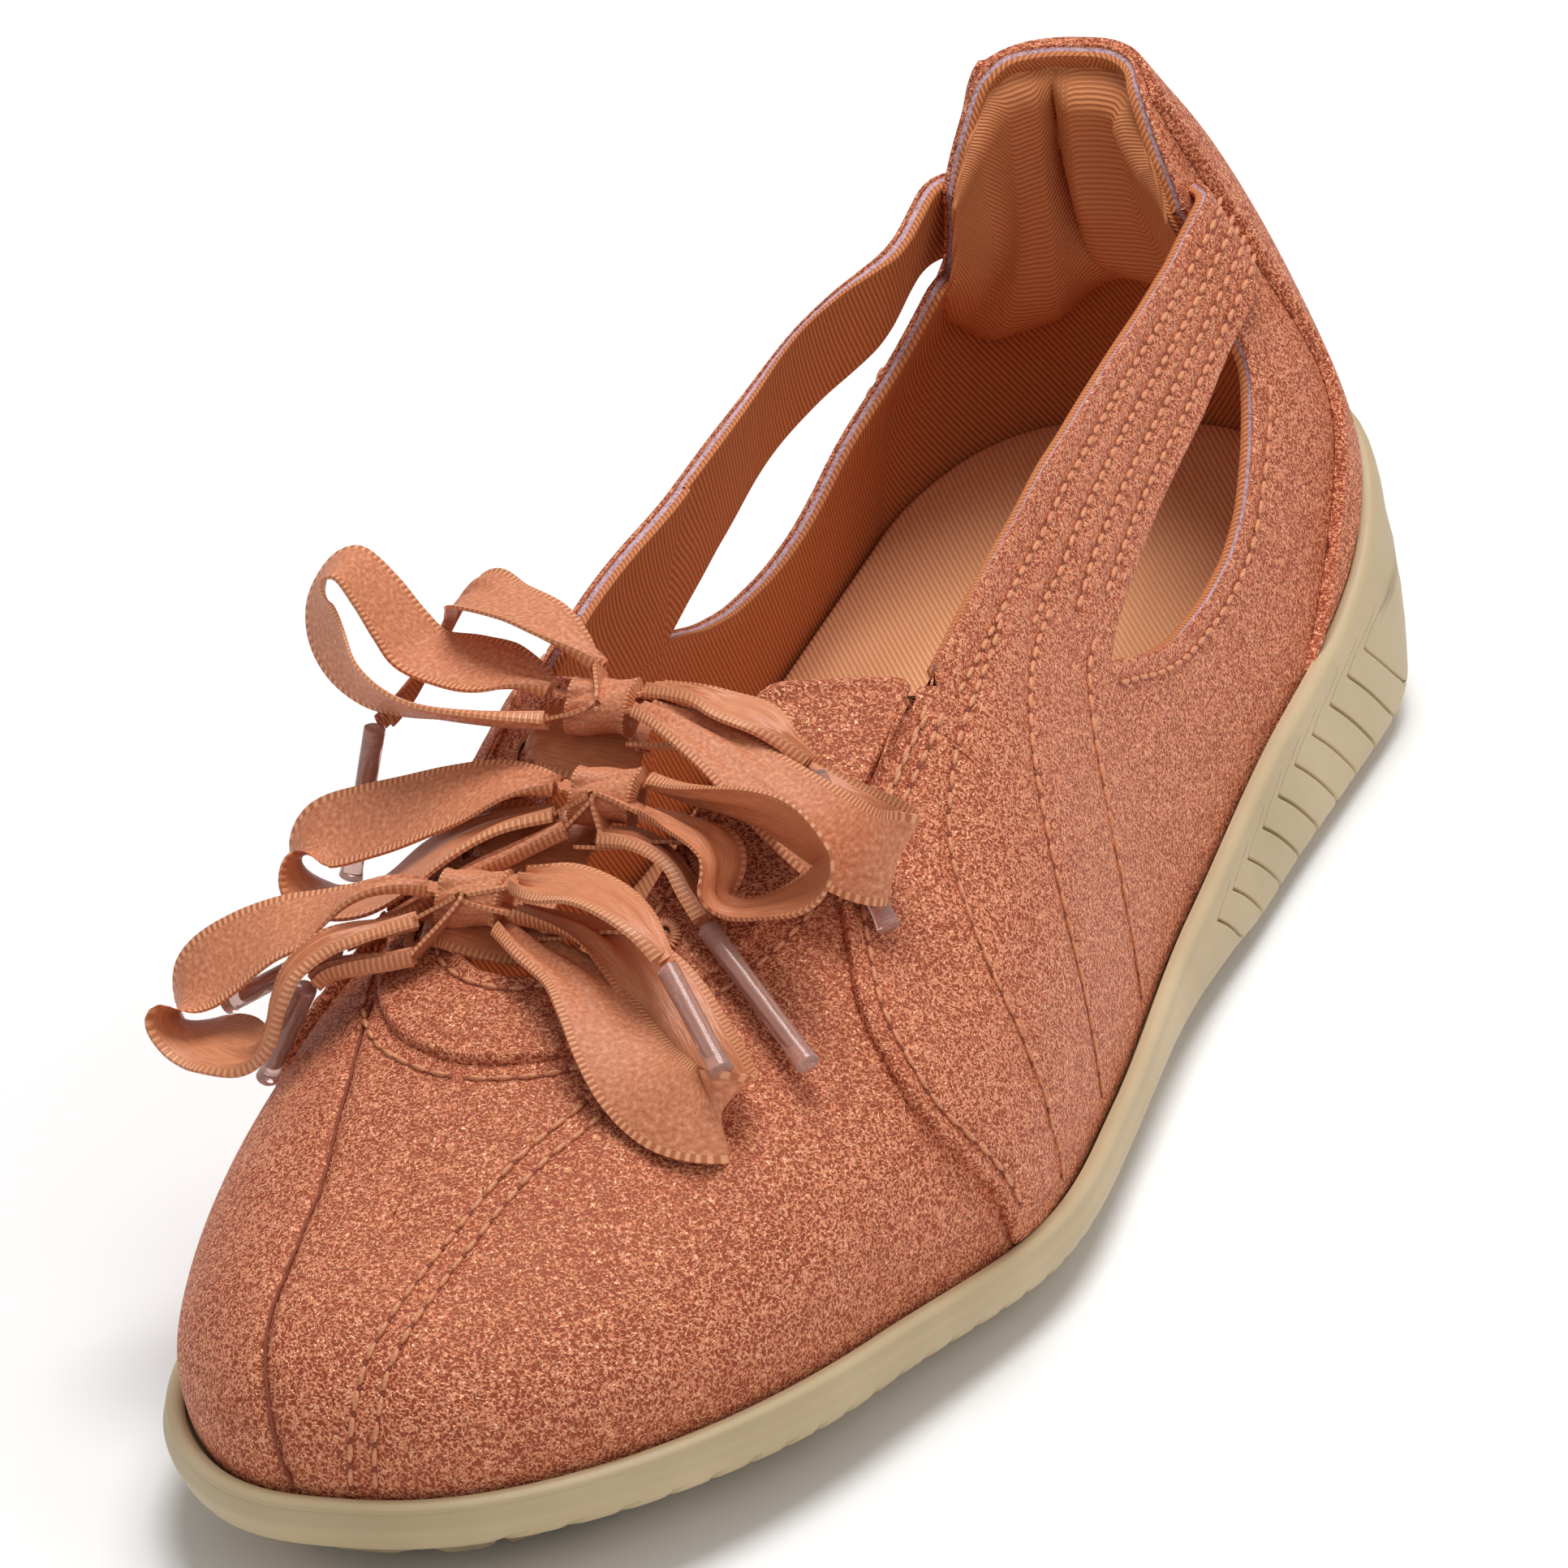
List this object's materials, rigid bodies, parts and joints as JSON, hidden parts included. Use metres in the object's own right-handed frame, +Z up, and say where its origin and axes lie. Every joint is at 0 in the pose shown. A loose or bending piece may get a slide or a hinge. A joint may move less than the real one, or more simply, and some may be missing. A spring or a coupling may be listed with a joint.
{
  "type": "ballet sneaker",
  "caption": "Low left sneaker with a ballet-style cut: open sides, straps to the heel tab, satin ribbon bows over an open throat, cupped rubber sole.",
  "frame": {"origin": "centre of the shoe's footprint on the floor, measured without the bows", "axes": "+Z up, the toe points to -Y, +X is the outer (lateral) side of a left shoe"},
  "size_m": [0.0982, 0.2522, 0.0812],
  "materials": {
    "rubber": "matt natural tan rubber",
    "metallic_textile": "crinkled textile with a rose metallic coat",
    "sock_lining": "smooth peach textile",
    "twill_lining": "satin twill",
    "satin_ribbon": "satin one side, crepe the other, ribbed edges",
    "aglet_plastic": "clear plastic tube"
  },
  "bodies": {
    "root": {"outsole": "rubber", "upper": "metallic_textile", "insole": "sock_lining", "heel_counter": "metallic_textile", "heel_pad": "twill_lining", "lace_bar_top": "satin_ribbon", "lace_bar_middle": "satin_ribbon", "lace_bar_bottom": "satin_ribbon", "bow_top_knot": "satin_ribbon", "bow_top_loop_medial": "satin_ribbon", "bow_top_end_medial": "satin_ribbon", "bow_top_loop_lateral": "satin_ribbon", "bow_top_end_lateral": "satin_ribbon", "bow_middle_knot": "satin_ribbon", "bow_middle_loop_medial": "satin_ribbon", "bow_middle_end_medial": "satin_ribbon", "bow_middle_loop_lateral": "satin_ribbon", "bow_middle_end_lateral": "satin_ribbon", "bow_bottom_knot": "satin_ribbon", "bow_bottom_loop_medial": "satin_ribbon", "bow_bottom_end_medial": "satin_ribbon", "bow_bottom_loop_lateral": "satin_ribbon", "bow_bottom_end_lateral": "satin_ribbon", "aglet_top_medial": "aglet_plastic", "aglet_top_lateral": "aglet_plastic", "aglet_middle_medial": "aglet_plastic", "aglet_middle_lateral": "aglet_plastic", "aglet_bottom_medial": "aglet_plastic", "aglet_bottom_lateral": "aglet_plastic"}
  },
  "joints": []
}
